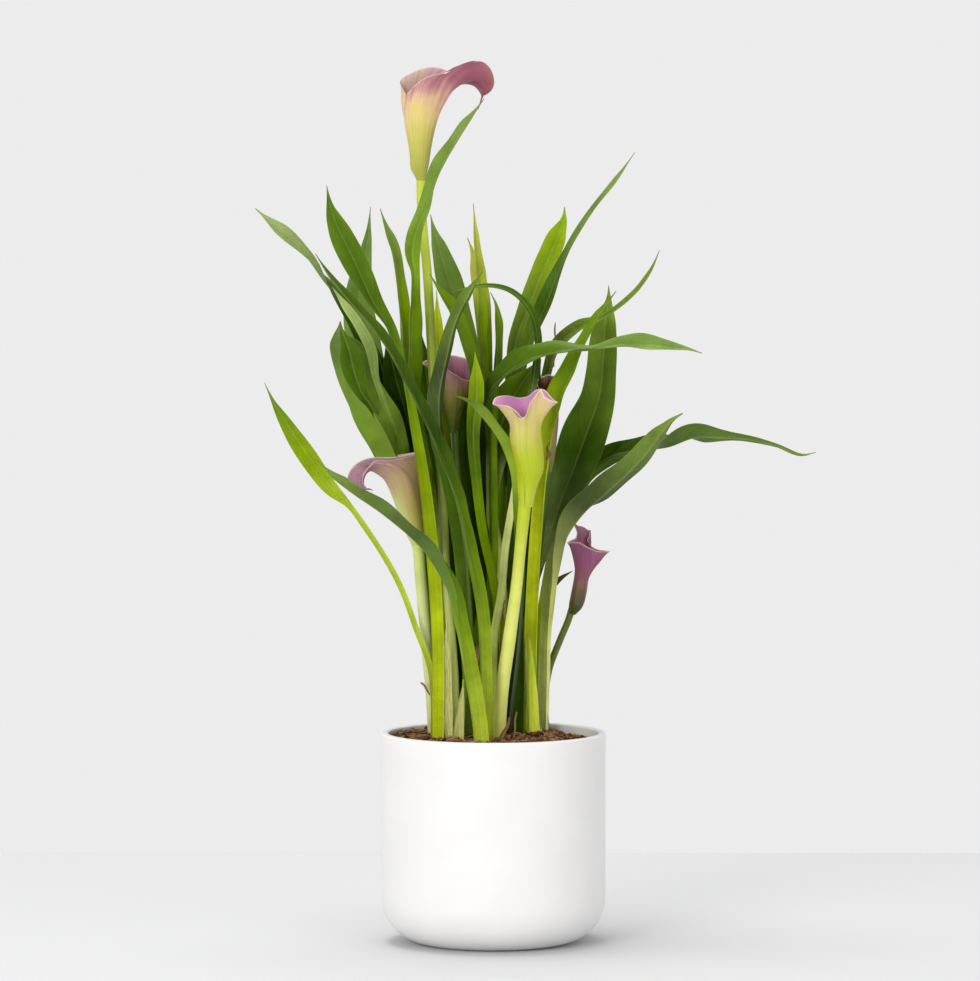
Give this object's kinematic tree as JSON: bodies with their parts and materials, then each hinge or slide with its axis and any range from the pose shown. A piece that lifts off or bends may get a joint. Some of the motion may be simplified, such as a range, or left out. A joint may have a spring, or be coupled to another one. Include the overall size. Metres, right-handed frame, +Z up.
{
  "type": "potted calla lily",
  "caption": "Calla lily clump with folded leaves and funnel flowers, growing in dark soil in a plain round white ceramic pot.",
  "frame": {"origin": "centre of the pot's flat base, on the surface that it stands on", "axes": "+Z up through the pot's middle; -Y towards the side seen first; the tallest flower stands left of the middle, towards -X"},
  "size_m": [0.3625, 0.2378, 0.5726],
  "materials": {
    "pot_ceramic": "smooth satin white glaze",
    "soil": "coarse dark peat with bark",
    "tuber": "rough brown skin",
    "leaf": "satin green leaf, bright yellow-green stalk",
    "flower_stalk": "satin pale lime green",
    "spathe": "satin, yellow below, plum above, with fine veins",
    "spadix": "fine grained matt yellow",
    "dry_sheath": "dry papery brown"
  },
  "bodies": {
    "root": {"leaf_arch": "leaf", "leaf_back_left": "leaf", "leaf_back_mid": "leaf", "leaf_back_mid_left": "leaf", "leaf_back_right": "leaf", "leaf_behind_scape": "leaf", "leaf_bent_right": "leaf", "leaf_blunt_right": "leaf", "leaf_bright_narrow": "leaf", "leaf_broad_middle": "leaf", "leaf_broad_right": "leaf", "leaf_curled": "leaf", "leaf_dark_front": "leaf", "leaf_far_left": "leaf", "leaf_far_right": "leaf", "leaf_front_curve": "leaf", "leaf_front_diagonal": "leaf", "leaf_front_sweep": "leaf", "leaf_green_behind": "leaf", "leaf_left_grey": "leaf", "leaf_left_main": "leaf", "leaf_left_upright": "leaf", "leaf_mid_upright": "leaf", "leaf_middle_narrow": "leaf", "leaf_right_curved": "leaf", "leaf_right_level": "leaf", "leaf_right_main": "leaf", "leaf_shaded_left": "leaf", "leaf_small_withered": "leaf", "leaf_tall_front": "leaf", "leaf_tall_right": "leaf", "leaf_twisted_left": "leaf", "leaf_yellow_narrow": "leaf", "leaf_yellow_strip": "leaf", "pot": "pot_ceramic", "scape_back_mid": "flower_stalk", "scape_back_right": "flower_stalk", "scape_left": "flower_stalk", "scape_small": "flower_stalk", "scape_tall": "flower_stalk", "scape_yellow": "flower_stalk", "sheath_left": "dry_sheath", "sheath_right": "dry_sheath", "soil": "soil", "spadix_back_mid": "spadix", "spadix_back_right": "spadix", "spadix_left": "spadix", "spadix_small": "spadix", "spadix_tall": "spadix", "spadix_yellow": "spadix", "spathe_back_mid": "spathe", "spathe_back_right": "spathe", "spathe_left": "spathe", "spathe_small": "spathe", "spathe_tall": "spathe", "spathe_yellow": "spathe", "tuber_1": "tuber", "tuber_2": "tuber", "tuber_3": "tuber"}
  },
  "joints": []
}
